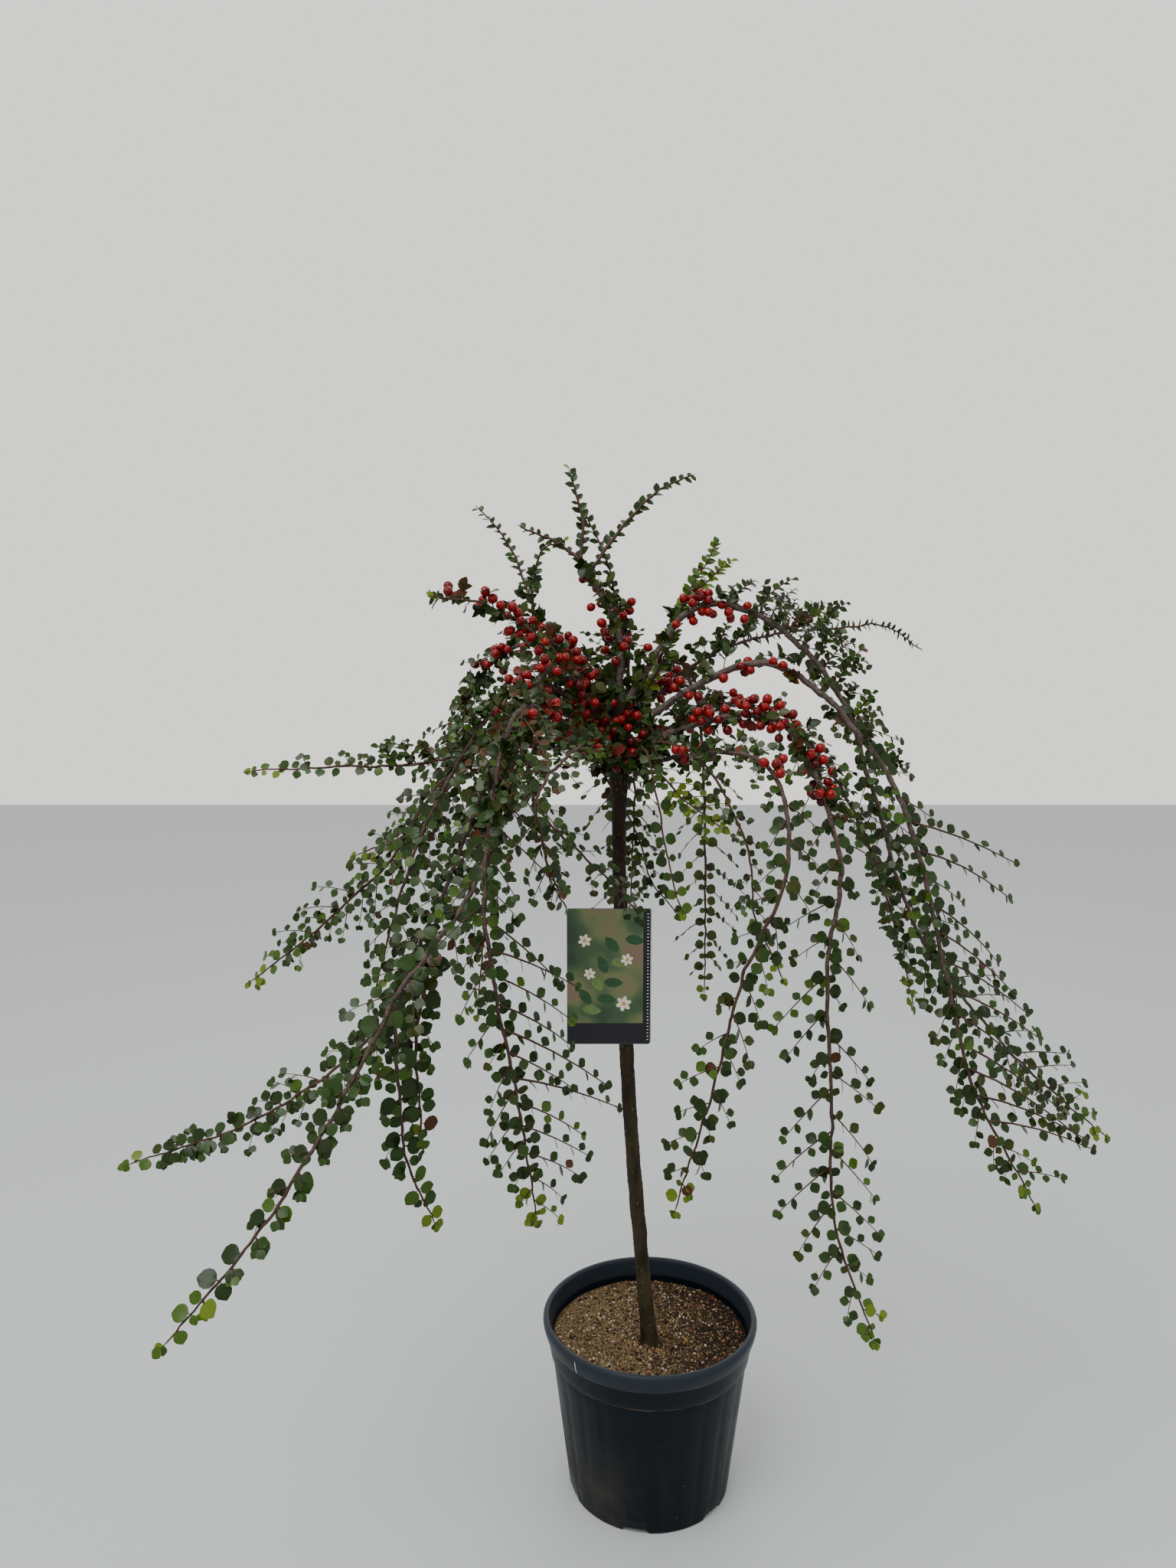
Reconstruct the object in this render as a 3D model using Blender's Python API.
"""Potted 'Blackburn' cranberry cotoneaster: a weeping standard grafted on a clear stem, in a nursery pot.

The origin is the middle of the pot's flat underside, +Z is up, and -Y faces the viewer. Lengths are in
metres. The trunk carries a grafted head. Each strand of the head is one curve that rises from the head,
arches over and weeps. Its bare start is a bough, and the rest is the stem of a mass of twigs, leaves and
berries. A mass grows by a seeded rule and keeps to the space that lies nearer its own stem than any other
strand.
"""

import math
from dataclasses import dataclass, field

import bmesh
import bpy
import numpy as np

# Pot, soil and trunk
POT_HEIGHT = 0.235
POT_RIM_RADIUS = 0.140
POT_BASE_RADIUS = 0.105
POT_COLLAR_RADII = (0.1275, 0.1295, 0.1345)  # the body's top, then the collar's foot and top
POT_INNER_RADIUS = 0.1245  # at the collar's foot
POT_MOUTH_RADIUS = 0.1315
POT_WALL = 0.003
POT_FLOOR = 0.010
POT_LIP_DEPTH = 0.023
POT_COLLAR_DEPTH = 0.028
POT_SIDES = 32
POT_FEET = 6
FOOT_NOTCH = (0.032, 0.014, 0.006)  # across, inwards and up from the underside
SOIL_LEVEL = 0.205
TRUNK_FOOT_Y = -0.023
TRUNK_LEAN = 0.044
HEAD_START = 0.945
HEAD_TOP = 1.045
HEAD_RADIUS = 0.0135
TRUNK_SIDES = 12
GAP = 0.0003

# Hanging label: a booklet that rests on the trunk, on a strap looped round it
CARD_WIDTH = 0.104
CARD_HEIGHT = 0.172
CARD_THICKNESS = 0.003
CARD_LEFT = -0.107
CARD_BOTTOM = 0.613
STRAP_LEVEL = 0.822
STRAP_BAND = (0.0018, 0.006)  # thickness and height of the band

# Growth rule shared by all masses
CURVE_STEP = 24
STEM_SPAN = 0.060
TWIG_ROOT_RADIUS = 0.0014
TWIG_TIP_RADIUS = 0.0006
TWIG_ANGLE = math.radians(52)
LEAF_ANGLE = math.radians(50)
LIGHT = np.array([0.0, -1.0, 0.25])  # towards the light, which the sprays turn to
LEAF_THICKNESS = 0.0016
LEAF_SINK = 0.0012
BERRY_RADIUS = 0.0068
SPACE_MARGIN = 0.0015
LIMB_MARGIN = 0.0015


@dataclass(frozen=True)
class Fork:
    """A second shoot that leaves a mass's own stem.

    Attributes:
        start: share of the strand's length at which it leaves.
        azimuth: bearing of its knots from the head's axis, in degrees from +X towards +Y.
        knots: (distance from the head's axis, height) of the points it runs through.
    """

    start: float
    azimuth: float
    knots: tuple


@dataclass(frozen=True)
class Strand:
    """One arching shoot of the grafted head.

    Attributes:
        name: plain name, used in its bough's and mass's node names.
        azimuth: bearing of its foot from the head's axis, in degrees from +X towards +Y.
        swing: how far that bearing turns by its tip, in degrees.
        foot: height at which it leaves the trunk.
        knots: (distance from the head's axis, height) of the points it runs through.
        radius: radius of its foot.
        bare: share of its length that is a bare bough. 0 starts the mass on the trunk.
        crest: share at which a bough is split at its bend, or 0 for a bough in one piece.
        twig: length of its longest side twig.
        pitch: spacing of its side twigs along the stem.
        leaf: length of a leaf.
        leaves: spacing of the leaves along stem and twigs.
        berries: number of berries, spread over berry_span.
        berry_span: shares of the length between which the berries sit.
        inner: length of the twigs on the side towards the trunk, as a share of those on the outer side.
        light: how far its sprays turn their flat side to the light, from 0 to 1.
        forks: second shoots.
    """

    name: str
    azimuth: float
    swing: float
    foot: float
    knots: tuple
    radius: float = 0.0035
    bare: float = 0.15
    crest: float = 0.0
    twig: float = 0.07
    pitch: float = 0.12
    leaf: float = 0.034
    leaves: float = 0.075
    berries: int = 0
    berry_span: tuple = (0.2, 0.5)
    inner: float = 1.0
    light: float = 0.7
    forks: tuple = field(default=())


STRANDS = (
    Strand("right_high", 8, -2, 1.035,
           ((0.090, 1.148), (0.190, 1.130), (0.280, 1.035), (0.331, 0.895), (0.390, 0.736), (0.520, 0.575),
            (0.655, 0.455)),
           radius=0.0048, bare=0.34, crest=0.17, berries=2, berry_span=(0.34, 0.42), inner=0.7),
    Strand("right_long", 350, -5, 1.005,
           ((0.170, 1.085), (0.295, 0.990), (0.355, 0.865), (0.390, 0.725), (0.430, 0.585), (0.500, 0.460)),
           radius=0.0048, bare=0.40, crest=0.20, twig=0.13, inner=0.4),
    Strand("right_berry", 335, -17, 0.985,
           ((0.195, 1.025), (0.280, 0.885), (0.275, 0.755), (0.290, 0.610), (0.305, 0.475), (0.365, 0.365)),
           radius=0.0045, bare=0.16, twig=0.075, berries=6, berry_span=(0.17, 0.33)),
    Strand("right_inner", 322, -36, 0.965,
           ((0.220, 0.985), (0.290, 0.885), (0.255, 0.760), (0.240, 0.630), (0.210, 0.490)),
           radius=0.0036, bare=0.16, twig=0.05, berries=2, berry_span=(0.18, 0.28)),
    Strand("right_thin", 309, 3, 0.992,
           ((0.130, 0.985), (0.205, 0.895), (0.220, 0.815), (0.260, 0.750)),
           radius=0.0024, bare=0.0, twig=0.035, leaf=0.026, leaves=0.056),
    Strand("right_drop", 288, 9, 0.957, ((0.085, 0.985), (0.125, 0.870), (0.150, 0.810)),
           radius=0.0022, bare=0.0, twig=0.03, leaf=0.026, leaves=0.056),
    Strand("right_top", 42, -6, 1.010,
           ((0.150, 1.088), (0.266, 1.116), (0.407, 1.126), (0.490, 1.128), (0.565, 1.092)),
           radius=0.0032, bare=0.18, twig=0.05, leaf=0.026, leaves=0.056, berries=2, berry_span=(0.20, 0.35)),
    Strand("left_long", 224, -6, 1.000,
           ((0.120, 1.075), (0.210, 0.855), (0.310, 0.745), (0.395, 0.620), (0.480, 0.515), (0.575, 0.430)),
           radius=0.0050, bare=0.30, crest=0.14, twig=0.08, leaf=0.033,
           forks=(Fork(0.50, 220, ((0.292, 0.690), (0.290, 0.625), (0.286, 0.563))),
                  Fork(0.58, 219, ((0.312, 0.620), (0.302, 0.540), (0.269, 0.459))))),
    Strand("left_far", 198, -2, 0.985,
           ((0.120, 1.010), (0.230, 0.790), (0.300, 0.655), (0.435, 0.565), (0.580, 0.525)),
           radius=0.0040, bare=0.20, twig=0.06),
    Strand("left_mid", 164, 4, 0.990,
           ((0.095, 1.030), (0.230, 0.930), (0.300, 0.830), (0.395, 0.740), (0.500, 0.655)),
           radius=0.0038, bare=0.16, twig=0.05),
    Strand("left_level", 182, 0, 0.965, ((0.105, 0.995), (0.230, 0.965), (0.335, 0.960), (0.445, 0.955)),
           radius=0.0032, bare=0.20, twig=0.055, leaf=0.026, leaves=0.056),
    Strand("left_high", 150, 8, 1.020,
           ((0.110, 1.105), (0.195, 1.065), (0.235, 0.965), (0.280, 0.870), (0.380, 0.820)),
           radius=0.0038, bare=0.18, twig=0.06, berries=2, berry_span=(0.2, 0.35)),
    Strand("left_drop", 210, -6, 1.015, ((0.130, 1.060), (0.230, 0.935), (0.275, 0.825), (0.310, 0.705)),
           radius=0.0034, bare=0.22, twig=0.045, berries=3, berry_span=(0.23, 0.36)),
    Strand("left_fish", 240, 2, 0.970,
           ((0.220, 1.040), (0.290, 0.875), (0.275, 0.750), (0.235, 0.615), (0.200, 0.465)),
           radius=0.0040, bare=0.18, twig=0.085, pitch=0.075, berries=3, berry_span=(0.19, 0.34)),
    Strand("left_inner", 256, -4, 0.960, ((0.155, 1.000), (0.300, 0.965), (0.260, 0.890), (0.195, 0.825)),
           radius=0.0028, bare=0.16, twig=0.045, leaf=0.022),
    Strand("left_up", 172, 8, 1.035, ((0.040, 1.085), (0.100, 1.130), (0.095, 1.210), (0.060, 1.230)),
           radius=0.0030, bare=0.15, twig=0.03, leaf=0.022, leaves=0.038, berries=2, berry_span=(0.30, 0.70),
           forks=(Fork(0.62, 165, ((0.130, 1.210), (0.150, 1.242), (0.182, 1.274))),)),
    Strand("left_berry", 212, -4, 1.030, ((0.100, 1.110), (0.170, 1.150), (0.240, 1.160)),
           radius=0.0030, bare=0.20, twig=0.03, leaf=0.026, leaves=0.056, berries=5, berry_span=(0.55, 0.95)),
    Strand("front_cross", 196, 92, 0.975,
           ((0.110, 1.000), (0.200, 0.945), (0.180, 0.880), (0.120, 0.815), (0.070, 0.795)),
           radius=0.0024, bare=0.0, twig=0.03, leaf=0.026, leaves=0.054),
    Strand("behind", 140, -105, 0.958, ((0.080, 0.975), (0.100, 0.880), (0.070, 0.820), (0.095, 0.760)),
           radius=0.0022, bare=0.0, twig=0.03, leaf=0.026, leaves=0.056),
    Strand("leader", 176, 0, HEAD_TOP + GAP, ((0.000, 1.110), (0.025, 1.170), (0.060, 1.217), (0.121, 1.246)),
           radius=0.0055, bare=0.36, twig=0.03, leaf=0.022, leaves=0.042, berries=2, berry_span=(0.38, 0.6),
           forks=(Fork(0.66, 176, ((0.044, 1.245), (0.051, 1.280), (0.059, 1.313))),
                  Fork(0.60, 176, ((0.006, 1.232), (-0.020, 1.262), (-0.050, 1.288), (-0.088, 1.304))))),
    Strand("top_bent", 38, 102, 1.030, ((0.042, 1.130), (0.036, 1.190), (0.048, 1.232), (0.058, 1.274)),
           radius=0.0026, bare=0.22, twig=0.02, leaf=0.022, leaves=0.042, berries=2, berry_span=(0.3, 0.55)),
    Strand("small_up", 18, 0, 1.010, ((0.060, 1.090), (0.085, 1.160), (0.130, 1.232)),
           radius=0.0020, bare=0.0, twig=0.02, leaf=0.022, leaves=0.042),
    Strand("right_low", 301, 16, 0.972, ((0.060, 0.968), (0.110, 0.930), (0.160, 0.900)),
           radius=0.0020, bare=0.0, twig=0.03, leaf=0.026, leaves=0.056),
    Strand("back_right", 62, 4, 0.985,
           ((0.130, 1.070), (0.255, 1.030), (0.305, 0.880), (0.330, 0.720), (0.345, 0.570)),
           radius=0.0040, bare=0.20, twig=0.06, berries=2, berry_span=(0.21, 0.4), light=0.0),
    Strand("back_middle", 92, -4, 1.020,
           ((0.090, 1.110), (0.205, 1.080), (0.265, 0.940), (0.285, 0.790), (0.290, 0.650)),
           radius=0.0040, bare=0.18, twig=0.065, berries=2, berry_span=(0.19, 0.4), light=0.0),
    Strand("back_left", 122, 4, 0.975,
           ((0.130, 1.045), (0.250, 0.990), (0.305, 0.850), (0.330, 0.690), (0.345, 0.550)),
           radius=0.0040, bare=0.18, twig=0.06, berries=2, berry_span=(0.19, 0.4), light=0.0),
    Strand("back_low", 78, 6, 0.958, ((0.080, 0.980), (0.160, 0.920), (0.195, 0.820), (0.205, 0.720)),
           radius=0.0026, bare=0.0, twig=0.045, leaf=0.022, light=0.0),
    Strand("back_wide", 26, -4, 0.970,
           ((0.140, 1.030), (0.260, 0.990), (0.350, 0.880), (0.410, 0.740), (0.450, 0.600)),
           radius=0.0038, bare=0.18, twig=0.055, berries=2, berry_span=(0.2, 0.35), light=0.0),
)

BARK = ("bark", (0.085, 0.060, 0.042), 0.85)
BOUGH_BARK = ("bough_bark", (0.095, 0.060, 0.045), 0.80)
FOLIAGE = ("foliage", (0.045, 0.105, 0.035), 0.50)
POT_PLASTIC = ("pot_plastic", (0.012, 0.014, 0.019), 0.55)
SOIL_MIX = ("soil_mix", (0.230, 0.150, 0.080), 0.95)
CARD_PRINT = ("card_print", (0.060, 0.110, 0.060), 0.40)
STRAP_PLASTIC = ("strap_plastic", (0.015, 0.015, 0.016), 0.50)


def clear_scene():
    """Removes every object that the file opened with."""
    for obj in list(bpy.data.objects):
        bpy.data.objects.remove(obj)


def material(look):
    """Returns the material of a look, made on first use.

    Args:
        look: (name, linear base colour, roughness).
    """
    name, colour, roughness = look
    found = bpy.data.materials.get(name)
    if found:
        return found
    made = bpy.data.materials.new(name)
    made.use_nodes = True
    shader = made.node_tree.nodes["Principled BSDF"]
    shader.inputs["Base Color"].default_value = (*colour, 1.0)
    shader.inputs["Roughness"].default_value = roughness
    shader.inputs["Metallic"].default_value = 0.0
    return made


def new_object(name, mesh, look):
    """Links a mesh to the scene as a named object with one material."""
    mesh.materials.clear()
    mesh.materials.append(material(look))
    obj = bpy.data.objects.new(name, mesh)
    bpy.context.scene.collection.objects.link(obj)
    return obj


def mesh_of(name, points, faces):
    """Returns a mesh with its normals facing out."""
    mesh = bpy.data.meshes.new(name)
    mesh.from_pydata([tuple(map(float, point)) for point in points], [], faces)
    work = bmesh.new()
    work.from_mesh(mesh)
    bmesh.ops.recalc_face_normals(work, faces=work.faces)
    work.to_mesh(mesh)
    work.free()
    return mesh


def apply_boolean(obj, operation, other=None, collection=None, solver="EXACT"):
    """Joins or cuts obj by an object or a collection, and applies it.

    Args:
        obj: the object that is changed.
        operation: 'UNION' or 'DIFFERENCE'.
        other: the operand, where it is one object.
        collection: the operand, where it is a collection.
        solver: 'EXACT' or 'MANIFOLD'.
    """
    modifier = obj.modifiers.new("join", "BOOLEAN")
    modifier.operation = operation
    modifier.solver = solver
    if collection:
        modifier.operand_type = "COLLECTION"
        modifier.collection = collection
    else:
        modifier.object = other
    bpy.context.view_layer.update()
    graph = bpy.context.evaluated_depsgraph_get()
    joined = bpy.data.meshes.new_from_object(obj.evaluated_get(graph))
    obj.modifiers.clear()
    obj.data = joined


def unit(vector):
    """Returns the vector at length one."""
    return vector / np.linalg.norm(vector)


def frame_at(tangent):
    """Returns two unit vectors that are square to the tangent: sideways, and outwards or up."""
    side = np.cross(tangent, (0.0, 0.0, 1.0))
    if np.linalg.norm(side) < 0.05:
        side = np.cross(tangent, (0.0, 1.0, 0.0))
    side = unit(side)
    return side, unit(np.cross(side, tangent))


def tangents(points):
    """Returns the unit direction of a run of points at each of them."""
    steps = np.gradient(points, axis=0)
    return steps / np.linalg.norm(steps, axis=1)[:, None]


def tube(name, points, radii, sides, ends=(None, None)):
    """Returns a closed tapering tube through points.

    Args:
        name: name of the mesh.
        points: centres of its rings.
        radii: radius of each ring.
        sides: number of sides.
        ends: directions that the first and the last ring's flat ends are square to, if not the tube's own.
    """
    ring_points = []
    directions = tangents(points)
    for index, direction in zip((0, -1), ends):
        if direction is not None:
            directions[index] = direction
    side, up = frame_at(directions[0])
    for index, (centre, tangent) in enumerate(zip(points, directions)):
        side = unit(side - tangent * (side @ tangent))
        up = np.cross(tangent, side)
        for corner in range(sides):
            angle = 2 * math.pi * corner / sides
            ring_points.append(centre + radii[index] * (math.cos(angle) * side + math.sin(angle) * up))
    rings = len(points)
    faces = [tuple(range(sides)), tuple(range((rings - 1) * sides, rings * sides))]
    for ring in range(rings - 1):
        for corner in range(sides):
            after = (corner + 1) % sides
            base = ring * sides
            faces.append((base + corner, base + after, base + sides + after, base + sides + corner))
    return mesh_of(name, ring_points, faces)


def smooth_run(knots):
    """Returns points along a smooth curve through the knots (Catmull-Rom)."""
    knots = np.asarray(knots, float)
    ends = np.vstack([2 * knots[0] - knots[1], knots, 2 * knots[-1] - knots[-2]])
    share = np.linspace(0, 1, CURVE_STEP, endpoint=False)[:, None]
    runs = []
    for a, b, c, d in zip(ends, ends[1:], ends[2:], ends[3:]):
        runs.append(0.5 * (2 * b + (c - a) * share + (2 * a - 5 * b + 4 * c - d) * share**2
                           + (3 * b - a - 3 * c + d) * share**3))
    return np.vstack([*runs, knots[-1:]])


def shares_of(points):
    """Returns how far along its length each point of a run lies, from 0 to 1."""
    lengths = np.linalg.norm(np.diff(points, axis=0), axis=1)
    return np.concatenate([[0.0], np.cumsum(lengths)]) / lengths.sum()


def cut_run(points, start, end, count):
    """Returns count points, evenly spread, of the stretch of a run between two shares of its length."""
    at = shares_of(points)
    wanted = np.linspace(start, end, count)
    return np.stack([np.interp(wanted, at, points[:, axis]) for axis in range(3)], 1)


def direction_at(run, share):
    """Returns a run's unit direction at a share of its length."""
    low, high = cut_run(run, max(share - 0.002, 0.0), min(share + 0.002, 1.0), 2)
    return unit(high - low)


def trunk_centre(height):
    """Returns the middle of the trunk at a height. The trunk leans left and straightens towards the head."""
    rise = min(max((height - SOIL_LEVEL) / (1.0 - SOIL_LEVEL), 0.0), 1.0)
    return np.array([-TRUNK_LEAN * (1 - (1 - rise) ** 2), TRUNK_FOOT_Y, height])


HEAD_AXIS = np.array([-TRUNK_LEAN, TRUNK_FOOT_Y, 0.0])
TRUNK_TAPER = (
    (SOIL_LEVEL + GAP, 0.0150), (0.214, 0.0115), (0.235, 0.0098), (0.300, 0.0092), (0.450, 0.0088),
    (0.620, 0.0085), (0.800, 0.0083), (0.915, 0.0088), (HEAD_START, 0.0125), (0.955, HEAD_RADIUS),
    (1.030, HEAD_RADIUS), (HEAD_TOP, 0.0120),
)


def on_cylinder(azimuth, out, height):
    """Returns the point at a bearing, a distance from the head's axis and a height."""
    angle = np.radians(azimuth)
    across = np.stack([out * np.cos(angle), out * np.sin(angle), np.zeros_like(out)], -1)
    return HEAD_AXIS + across + np.stack([0 * out, 0 * out, height], -1)


def strand_run(strand):
    """Returns the points of a strand from the trunk to its tip."""
    foot_out = 0.0 if strand.foot > HEAD_TOP else HEAD_RADIUS + GAP
    flat = smooth_run([(foot_out, strand.foot), *strand.knots])
    return on_cylinder(strand.azimuth + strand.swing * shares_of(flat), flat[:, 0], flat[:, 1])


def fork_run(strand, fork, run):
    """Returns the points of a fork, from a point of its strand's stem to its tip."""
    root = cut_run(run, fork.start, fork.start, 1)
    knots = np.asarray(fork.knots)
    places = on_cylinder(np.full(len(knots), float(fork.azimuth)), knots[:, 0], knots[:, 1])
    return smooth_run(np.vstack([root, places]))


def build_pot():
    """The nursery pot: a turned shell with a rolled lip, a collar and notched feet, open at the top."""
    lip = POT_HEIGHT - POT_LIP_DEPTH
    collar = lip - POT_COLLAR_DEPTH
    body_top, collar_foot, collar_top = POT_COLLAR_RADII
    slope = (body_top - POT_BASE_RADIUS) / collar
    profile = (
        (POT_BASE_RADIUS, 0.0),
        (body_top, collar),
        (collar_foot, collar + 0.001),
        (collar_top, lip),
        (collar_top + 0.0015, lip + 0.001),
        (POT_RIM_RADIUS, POT_HEIGHT - 0.008),
        (POT_RIM_RADIUS - 0.001, POT_HEIGHT - 0.002),
        (POT_RIM_RADIUS - 0.004, POT_HEIGHT),
        (POT_MOUTH_RADIUS, POT_HEIGHT - 0.002),
        (POT_INNER_RADIUS, collar),
        (POT_BASE_RADIUS + slope * POT_FLOOR - POT_WALL, POT_FLOOR),
    )
    points = []
    for radius, height in profile:
        for side in range(POT_SIDES):
            angle = 2 * math.pi * side / POT_SIDES
            points.append((radius * math.cos(angle), radius * math.sin(angle), height))
    faces = [tuple(range(POT_SIDES))]
    for ring in range(len(profile) - 1):
        for side in range(POT_SIDES):
            after = (side + 1) % POT_SIDES
            base = ring * POT_SIDES
            faces.append((base + side, base + after, base + POT_SIDES + after, base + POT_SIDES + side))
    faces.append(tuple(range((len(profile) - 1) * POT_SIDES, len(profile) * POT_SIDES)))
    pot = new_object("pot", mesh_of("pot", points, faces), POT_PLASTIC)
    across, inwards, up = FOOT_NOTCH
    work = bmesh.new()
    for notch in range(POT_FEET):
        made = bmesh.ops.create_cube(work, size=1.0)["verts"]
        bmesh.ops.scale(work, verts=made, vec=(2 * inwards, across, 2 * up))
        bmesh.ops.translate(work, verts=made, vec=(POT_BASE_RADIUS, 0.0, 0.0))
        angle = 2 * math.pi * (notch + 0.3) / POT_FEET
        turn = ((math.cos(angle), -math.sin(angle), 0), (math.sin(angle), math.cos(angle), 0), (0, 0, 1))
        for vertex in made:
            vertex.co = [sum(row[k] * vertex.co[k] for k in range(3)) for row in turn]
    cutter_mesh = bpy.data.meshes.new("notches")
    work.to_mesh(cutter_mesh)
    work.free()
    cutter = new_object("notches", cutter_mesh, POT_PLASTIC)
    apply_boolean(pot, "DIFFERENCE", other=cutter)
    bpy.data.objects.remove(cutter)
    pot.data.shade_smooth()
    pot.data.set_sharp_from_angle(angle=math.radians(30))


def build_soil():
    """The soil: a slightly tapering plug that fills the pot up to its level."""
    collar = POT_HEIGHT - POT_LIP_DEPTH - POT_COLLAR_DEPTH
    slope = (POT_COLLAR_RADII[0] - POT_BASE_RADIUS) / collar
    mouth_slope = (POT_MOUTH_RADIUS - POT_INNER_RADIUS) / (POT_HEIGHT - 0.002 - collar)
    clear = 2 * GAP
    rings = (
        (POT_BASE_RADIUS + slope * POT_FLOOR - POT_WALL - clear, POT_FLOOR + GAP),
        (POT_INNER_RADIUS - clear, collar),
        (POT_INNER_RADIUS - clear + mouth_slope * (SOIL_LEVEL - collar), SOIL_LEVEL),
    )
    points = []
    for radius, height in rings:
        for side in range(POT_SIDES):
            angle = 2 * math.pi * side / POT_SIDES
            points.append((radius * math.cos(angle), radius * math.sin(angle), height))
    faces = [tuple(range(POT_SIDES)), tuple(range(2 * POT_SIDES, 3 * POT_SIDES))]
    for ring in range(2):
        for side in range(POT_SIDES):
            after = (side + 1) % POT_SIDES
            base = ring * POT_SIDES
            faces.append((base + side, base + after, base + POT_SIDES + after, base + POT_SIDES + side))
    new_object("soil", mesh_of("soil", points, faces), SOIL_MIX)


def build_trunk():
    """The clear stem: flared at the soil, leaning and tapering, with the swollen graft head on top."""
    heights = [height for height, _ in TRUNK_TAPER]
    rings, radii = [], []
    for low, high in zip(heights, heights[1:]):
        parts = max(1, round((high - low) / 0.09))
        rings += [low + (high - low) * part / parts for part in range(parts)]
    rings.append(heights[-1])
    for height in rings:
        radii.append(float(np.interp(height, heights, [radius for _, radius in TRUNK_TAPER])))
    points, faces = [], [tuple(range(TRUNK_SIDES))]
    for height, radius in zip(rings, radii):
        centre = trunk_centre(height)
        for side in range(TRUNK_SIDES):
            angle = 2 * math.pi * side / TRUNK_SIDES
            points.append(centre + radius * np.array([math.cos(angle), math.sin(angle), 0.0]))
    for ring in range(len(rings) - 1):
        for side in range(TRUNK_SIDES):
            after = (side + 1) % TRUNK_SIDES
            base = ring * TRUNK_SIDES
            faces.append((base + side, base + after, base + TRUNK_SIDES + after, base + TRUNK_SIDES + side))
    faces.append(tuple(range((len(rings) - 1) * TRUNK_SIDES, len(rings) * TRUNK_SIDES)))
    trunk = new_object("trunk", mesh_of("trunk", points, faces), BARK)
    trunk.data.shade_smooth()
    trunk.data.set_sharp_from_angle(angle=math.radians(40))


def card_front():
    """Returns the Y of the label's front face. Its back rests on the trunk."""
    trunk_front = TRUNK_FOOT_Y - float(np.interp(CARD_BOTTOM, *zip(*TRUNK_TAPER)))
    return trunk_front - GAP - CARD_THICKNESS


def box_mesh(name, low, high):
    """Returns a box between two corners."""
    corners = [(x, y, z) for x in (low[0], high[0]) for y in (low[1], high[1]) for z in (low[2], high[2])]
    faces = [(0, 1, 3, 2), (4, 6, 7, 5), (0, 4, 5, 1), (2, 3, 7, 6), (0, 2, 6, 4), (1, 5, 7, 3)]
    return mesh_of(name, corners, faces)


def build_label():
    """The hanging label booklet and the strap that loops round the trunk above it."""
    front = card_front()
    low = (CARD_LEFT, front, CARD_BOTTOM)
    high = (CARD_LEFT + CARD_WIDTH, front + CARD_THICKNESS, CARD_BOTTOM + CARD_HEIGHT)
    new_object("label_card", box_mesh("label_card", low, high), CARD_PRINT)
    thick, tall = STRAP_BAND
    centre = trunk_centre(STRAP_LEVEL)
    inner = float(np.interp(STRAP_LEVEL - tall, *zip(*TRUNK_TAPER))) + 2 * GAP
    points, faces = [], []
    section = ((inner, -tall / 2), (inner + thick, -tall / 2), (inner + thick, tall / 2), (inner, tall / 2))
    for radius, height in section:
        for side in range(TRUNK_SIDES):
            angle = 2 * math.pi * side / TRUNK_SIDES
            points.append(centre + np.array([radius * math.cos(angle), radius * math.sin(angle), height]))
    for ring in range(4):
        for side in range(TRUNK_SIDES):
            after = (side + 1) % TRUNK_SIDES
            here, there = ring * TRUNK_SIDES, (ring + 1) % 4 * TRUNK_SIDES
            faces.append((here + side, here + after, there + after, there + side))
    strap = new_object("label_strap", mesh_of("label_strap", points, faces), STRAP_PLASTIC)
    band_front = centre[1] - inner - thick
    tail_low = (centre[0] - 0.006, front + 0.0004, CARD_BOTTOM + CARD_HEIGHT + GAP)
    tail_high = (centre[0] + 0.003, band_front + thick * 0.6, STRAP_LEVEL + tall / 2 - 0.0004)
    tail = new_object("tail", box_mesh("tail", tail_low, tail_high), STRAP_PLASTIC)
    apply_boolean(strap, "UNION", other=tail)
    bpy.data.objects.remove(tail)


def bough_radius(strand, share):
    """Returns a strand's radius at a share of its length: an even taper from its foot to its tip."""
    return TWIG_ROOT_RADIUS * 0.75 + (strand.radius - TWIG_ROOT_RADIUS * 0.75) * (1 - share)


def foot_facing(strand):
    """Returns the direction that a strand's flat foot is square to, so that it lies on the trunk."""
    angle = math.radians(strand.azimuth)
    return np.array([0.0, 0.0, 1.0] if strand.foot > HEAD_TOP else [math.cos(angle), math.sin(angle), 0.0])


def build_bough(strand, run):
    """The bare start of a strand, split in two at its bend where it arches far out."""
    stretches = [("", 0.0, strand.bare)]
    if strand.crest:
        stretches = [("_rise", 0.0, strand.crest), ("_arch", strand.crest, strand.bare)]
    length = np.linalg.norm(np.diff(run, axis=0), axis=1).sum()
    for index, (ending, start, end) in enumerate(stretches):
        start = start + (GAP / length if index else 0.0)
        count = max(3, round((end - start) * length / 0.03) + 1)
        points = cut_run(run, start, end, count)
        radii = [bough_radius(strand, share) for share in np.linspace(start, end, count)]
        facing = direction_at(run, start)
        if index == 0:
            facing = foot_facing(strand)
        name = f"bough_{strand.name}{ending}"
        ends = (facing, direction_at(run, end))
        bough = new_object(name, tube(name, points, radii, 6, ends), BOUGH_BARK)
        bough.data.shade_smooth()


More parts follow.
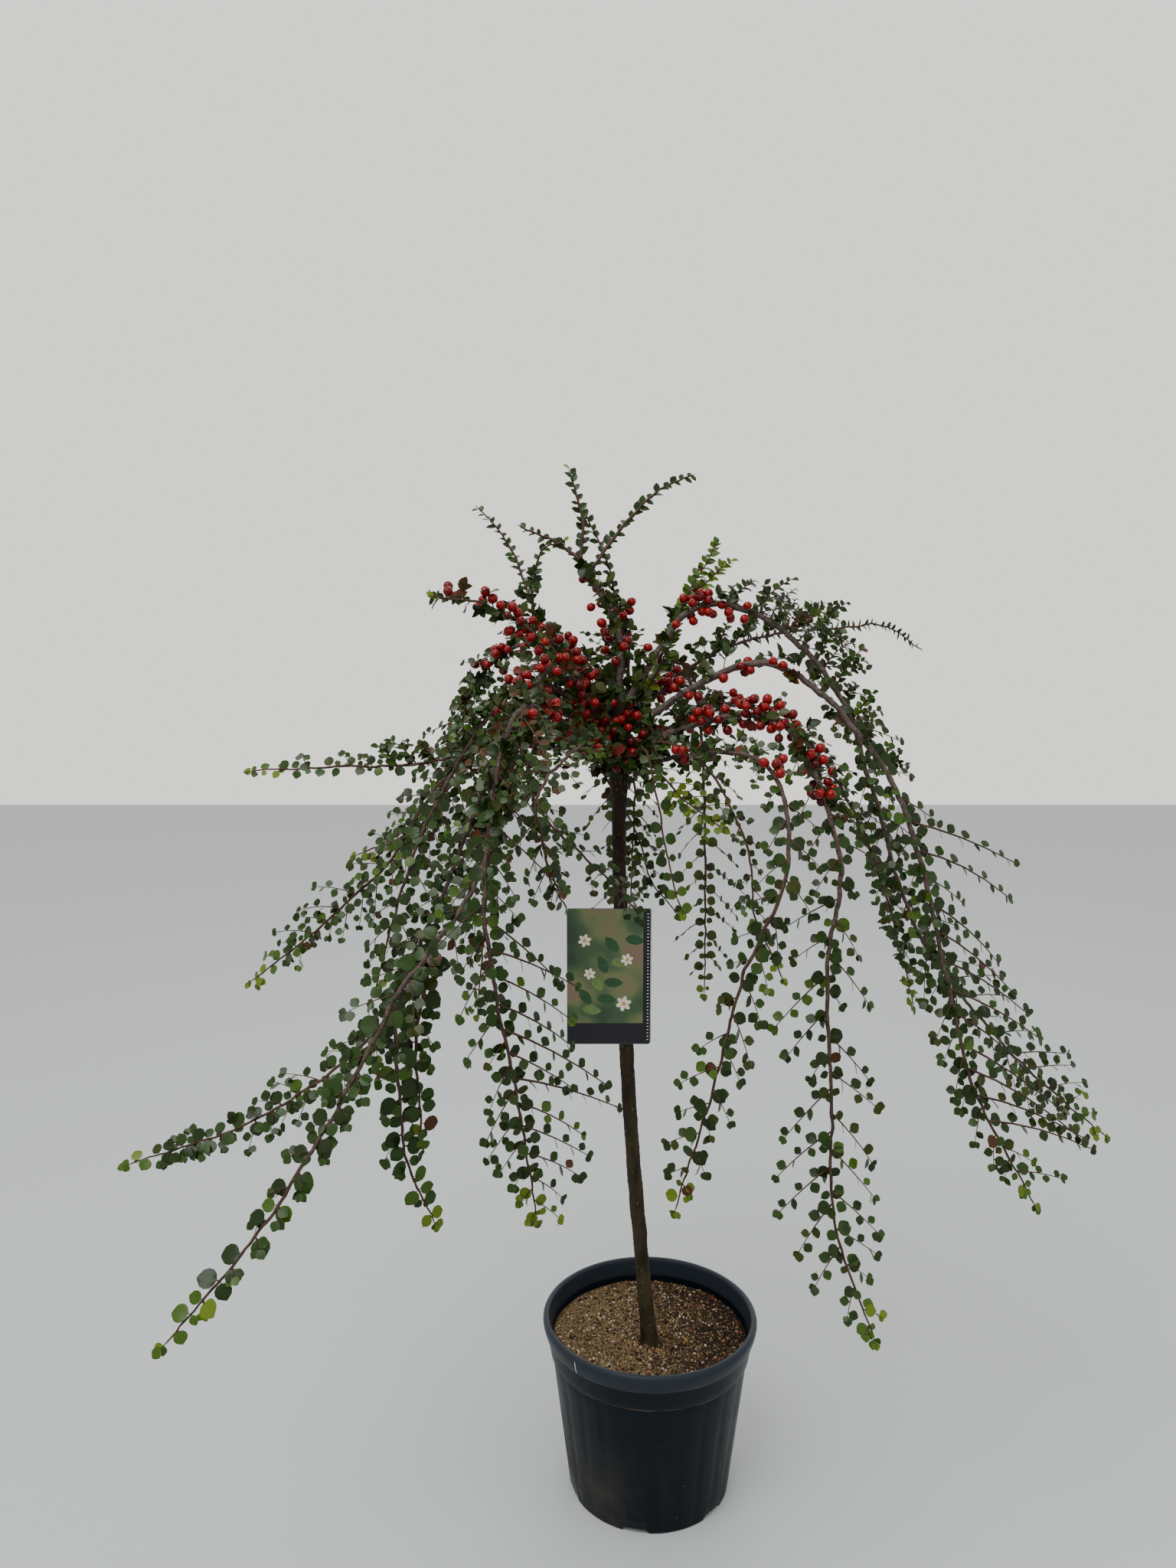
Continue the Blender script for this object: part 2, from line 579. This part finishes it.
class Space:
    """Tells whether a new twig, leaf or berry stays in its mass's space and clear of the limbs.

    Attributes:
        points: points along every strand and fork.
        owners: index of the strand that each point belongs to.
        reach: how far from each point a bough's wood reaches, 0 along a mass's stem.
    """

    def __init__(self, runs):
        """Samples every strand.

        Args:
            runs: for each strand, its own run followed by its forks' runs.
        """
        points, owners, reach = [], [], []
        for index, (strand, (run, *forks)) in enumerate(zip(STRANDS, runs)):
            length = np.linalg.norm(np.diff(run, axis=0), axis=1).sum()
            count = max(8, int(length / 0.006))
            points.append(cut_run(run, 0.0, 1.0, count))
            for share in np.linspace(0, 1, count):
                reach.append(bough_radius(strand, share) if share <= strand.bare else 0.0)
            for fork in forks:
                points.append(cut_run(fork, 0.0, 1.0, 40))
                reach += [0.0] * 40
            owners += [index] * (count + 40 * len(forks))
        self.points = np.vstack(points)
        self.owners = np.array(owners)
        self.reach = np.array(reach)

    def holds(self, owner, corners):
        """Returns whether all corners lie in the owner's space, clear of limbs, label, pot and soil.

        Args:
            owner: index of the strand that they grow from.
            corners: points of the new piece.
        """
        distance = np.linalg.norm(corners[:, None] - self.points[None], axis=2)
        own = np.where(self.owners == owner, distance, np.inf).min(axis=1)
        other = np.where(self.owners == owner, np.inf, distance).min(axis=1)
        if (own + SPACE_MARGIN > other).any():
            return False
        limb = np.where(self.reach > 0, distance - self.reach, np.inf).min(axis=1)
        if (limb < LIMB_MARGIN).any():
            return False
        for corner in corners:
            centre = trunk_centre(corner[2])
            radius = float(np.interp(corner[2], *zip(*TRUNK_TAPER)))
            if corner[2] < HEAD_TOP + 0.002 and np.hypot(*(corner - centre)[:2]) < radius + 0.004:
                return False
            if corner[2] < POT_HEIGHT + 0.003:
                return False
        low = np.array([CARD_LEFT, card_front(), CARD_BOTTOM]) - 0.002
        high = np.array([CARD_LEFT + CARD_WIDTH, card_front() + CARD_THICKNESS, STRAP_LEVEL]) + 0.002
        near_card = (corners > low).all(axis=1) & (corners < high).all(axis=1)
        return not near_card.any()


def leaf_corners(root, direction, normal, length):
    """Returns the six corners of a leaf: a flattened eight-faced solid, widest past its middle."""
    across = unit(np.cross(direction, normal))
    lift = unit(np.cross(across, direction))
    middle = root + direction * length * 0.55
    half = length * 0.40
    return np.array([
        root - direction * LEAF_SINK,
        middle + across * half,
        root + direction * length,
        middle - across * half,
        middle + lift * LEAF_THICKNESS / 2,
        middle - lift * LEAF_THICKNESS / 2,
    ])


LEAF_FACES = [(0, 1, 4), (1, 2, 4), (2, 3, 4), (3, 0, 4), (1, 0, 5), (2, 1, 5), (3, 2, 5), (0, 3, 5)]


class Mass:
    """Grows one mass of twigs, leaves and berries from a strand's stem, and joins it into one solid."""

    def __init__(self, index, strand, runs, space):
        """Keeps what the growth rule needs.

        Args:
            index: the strand's place in STRANDS, which also seeds the rule.
            strand: the strand.
            runs: the strand's own run followed by its forks' runs.
            space: the test for the mass's space.
        """
        self.index = index
        self.strand = strand
        self.run, *self.forks = runs
        self.space = space
        self.draw = np.random.default_rng(1000 + index)
        self.collection = bpy.data.collections.new(f"pieces_{strand.name}")

    def add(self, mesh):
        """Adds one closed piece to the mass."""
        self.collection.objects.link(bpy.data.objects.new("piece", mesh))

    def fan(self, tangent):
        """Returns the sideways vector of the sprays' plane, and its normal, turned part way to the light."""
        out = frame_at(tangent)[1]
        facing = out + self.strand.light * (LIGHT - out)
        normal = unit(facing - tangent * (facing @ tangent))
        return np.cross(tangent, normal), normal

    def grow_leaves(self, points, spacing, size, start=0.0):
        """Sets leaves alternately on both sides of a run, and one at its tip."""
        length = np.linalg.norm(np.diff(points, axis=0), axis=1).sum()
        count = max(1, int((length - start) / spacing))
        shares = shares_of(points)
        directions = tangents(points)
        for number in range(count + 1):
            share = min(1.0, (start + spacing * (number + 0.5)) / length) if number < count else 1.0
            root = cut_run(points, share, share, 1)[0]
            tangent = directions[min(int(np.searchsorted(shares, share)), len(points) - 1)]
            side, out = self.fan(tangent)
            hand = 1 if number % 2 else -1
            angle = LEAF_ANGLE * (1 + self.draw.uniform(-0.2, 0.2)) if share < 1.0 else 0.0
            lift = self.draw.uniform(0.0, 0.45)
            direction = unit(math.cos(angle) * tangent + math.sin(angle) * (hand * side + lift * out))
            normal = unit(out + self.draw.uniform(-0.45, 0.45) * side)
            if share == 1.0:
                root = root - tangent * 0.001
            corners = leaf_corners(root, direction, normal, size * self.draw.uniform(0.85, 1.15))
            if self.space.holds(self.index, corners[1:]):
                self.add(mesh_of("leaf", corners, LEAF_FACES))

    def grow_twigs(self, run, start, end, longest):
        """Sets side twigs alternately along a stretch of stem, shorter towards its tip, with their leaves."""
        strand = self.strand
        length = np.linalg.norm(np.diff(run, axis=0), axis=1).sum()
        count = int((end - start) * length / strand.pitch)
        shares, directions = shares_of(run), tangents(run)
        for number in range(count):
            share = start + (end - start) * (number + 0.4) / max(count, 1)
            root = cut_run(run, share, share, 1)[0]
            tangent = directions[int(np.searchsorted(shares, share))]
            side, out = self.fan(tangent)
            hand = 1 if number % 2 else -1
            reach = longest * (1 - 0.55 * (number + 0.5) / count) * self.draw.uniform(0.8, 1.15)
            outward = unit((root - HEAD_AXIS) * (1.0, 1.0, 0.0)) + (0.0, 0.0, 1.0)
            if hand * (side @ outward) < 0:
                reach *= strand.inner
            lift = self.draw.uniform(0.05, 0.35)
            spread = hand * side + lift * out
            heading = unit(math.cos(TWIG_ANGLE) * tangent + math.sin(TWIG_ANGLE) * spread)
            for reach in (reach, reach * 0.7, reach * 0.45):
                bend = root + heading * reach * 0.55
                tip = bend + unit(heading + 0.35 * tangent) * reach * 0.45
                points = np.array([root, bend, tip])
                if self.space.holds(self.index, points[1:]):
                    radii = (TWIG_ROOT_RADIUS, TWIG_ROOT_RADIUS * 0.8, TWIG_TIP_RADIUS)
                    self.add(tube("twig", points, radii, 3))
                    line = cut_run(points, 0, 1, 12)
                    self.grow_leaves(line, strand.leaves, strand.leaf, strand.leaves * 0.3)
                    break

    def grow_berries(self, axis, start):
        """Sets berries round the stem in the strand's berry span.

        Args:
            axis: points of the stem.
            start: share of the strand's length at which the stem starts.
        """
        strand = self.strand
        first, last = ((share - start) / (1 - start) for share in strand.berry_span)
        shares, directions = shares_of(axis), tangents(axis)
        for number in range(strand.berries):
            for _ in range(8):
                share = first + (last - first) * (number + self.draw.uniform(0.1, 0.9)) / strand.berries
                root = cut_run(axis, share, share, 1)[0]
                tangent = directions[int(np.searchsorted(shares, share))]
                side, out = frame_at(tangent)
                angle = self.draw.uniform(0, 2 * math.pi)
                away = math.cos(angle) * side + math.sin(angle) * out
                centre = root + away * BERRY_RADIUS * 0.85
                work = bmesh.new()
                bmesh.ops.create_icosphere(work, subdivisions=1, radius=BERRY_RADIUS)
                bmesh.ops.translate(work, verts=work.verts, vec=tuple(centre))
                mesh = bpy.data.meshes.new("berry")
                work.to_mesh(mesh)
                work.free()
                corners = np.array([vertex.co for vertex in mesh.vertices])
                if self.space.holds(self.index, corners):
                    self.add(mesh)
                    break

    def stem(self, run, start, root_radius):
        """Adds a three-sided stem from a share of a run to its tip.

        Returns:
            (its mesh, the points of its axis), which the twigs and leaves grow from.
        """
        length = np.linalg.norm(np.diff(run, axis=0), axis=1).sum()
        count = max(4, round((1 - start) * length / STEM_SPAN) + 1)
        points = cut_run(run, start, 1.0, count)
        radii = np.linspace(root_radius, TWIG_TIP_RADIUS, count)
        root = direction_at(run, start)
        if run is self.run and not self.strand.bare:
            root = foot_facing(self.strand)
        return tube("stem", points, radii, 3, (root, None)), points

    def build(self):
        """Grows all of the mass and joins it."""
        strand = self.strand
        length = np.linalg.norm(np.diff(self.run, axis=0), axis=1).sum()
        start = strand.bare + GAP / length if strand.bare else 0.0
        stem, axis = self.stem(self.run, start, bough_radius(strand, strand.bare) * 1.1)
        clear = (0.012 if strand.bare else 0.05) / ((1 - start) * length)
        self.grow_twigs(axis, clear, 0.93, strand.twig)
        self.grow_leaves(cut_run(axis, clear, 1.0, 80), strand.leaves, strand.leaf, 0.01)
        for place, fork in zip(strand.forks, self.forks):
            share = (place.start - start) / (1 - start)
            fork[0] = cut_run(axis, share, share, 1)[0]
            shoot, line = self.stem(fork, 0.0, TWIG_ROOT_RADIUS)
            self.add(shoot)
            self.grow_twigs(line, 0.15, 0.93, strand.twig * 0.5)
            self.grow_leaves(line, strand.leaves, strand.leaf, 0.01)
        self.grow_berries(axis, start)
        self.join(stem)

    def join(self, stem):
        """Unites the stem with its pieces, keeps the one outer surface and removes the pieces."""
        name = f"mass_{self.strand.name}"
        mass = new_object(name, stem, FOLIAGE)
        pieces = list(self.collection.objects)
        for solver in ("EXACT", "MANIFOLD"):
            mass.data = stem.copy()
            apply_boolean(mass, "UNION", collection=self.collection, solver=solver)
            keep_largest_shell(mass.data)
            if is_closed(mass.data):
                break
        bpy.data.meshes.remove(stem)
        mass.data.name = name
        for piece in pieces:
            bpy.data.objects.remove(piece)
        bpy.data.collections.remove(self.collection)
        mass.data.materials.clear()
        mass.data.materials.append(material(FOLIAGE))


def is_closed(mesh):
    """Returns whether every edge of a mesh has two faces."""
    work = bmesh.new()
    work.from_mesh(mesh)
    closed = all(len(edge.link_faces) == 2 for edge in work.edges)
    work.free()
    return closed


def keep_largest_shell(mesh):
    """Drops loose scraps and sealed hollows from a joined mesh, and slivers from its faces."""
    work = bmesh.new()
    work.from_mesh(mesh)
    bmesh.ops.triangulate(work, faces=work.faces)
    bmesh.ops.dissolve_degenerate(work, dist=2e-6, edges=work.edges)
    bmesh.ops.triangulate(work, faces=work.faces)
    left = set(work.verts)
    shells = []
    while left:
        stack, shell = [left.pop()], set()
        while stack:
            vertex = stack.pop()
            shell.add(vertex)
            for edge in vertex.link_edges:
                other = edge.other_vert(vertex)
                if other in left:
                    left.remove(other)
                    stack.append(other)
        shells.append(shell)
    shells.sort(key=len, reverse=True)
    bmesh.ops.delete(work, geom=[vertex for shell in shells[1:] for vertex in shell], context="VERTS")
    work.to_mesh(mesh)
    work.free()


def main():
    """Builds every node of the plant and its pot."""
    clear_scene()
    build_pot()
    build_soil()
    build_trunk()
    build_label()
    runs = []
    for strand in STRANDS:
        run = strand_run(strand)
        runs.append([run, *(fork_run(strand, fork, run) for fork in strand.forks)])
    space = Space(runs)
    for index, strand in enumerate(STRANDS):
        if strand.bare:
            build_bough(strand, runs[index][0])
        Mass(index, strand, runs[index], space).build()


if __name__ == "__main__":
    main()
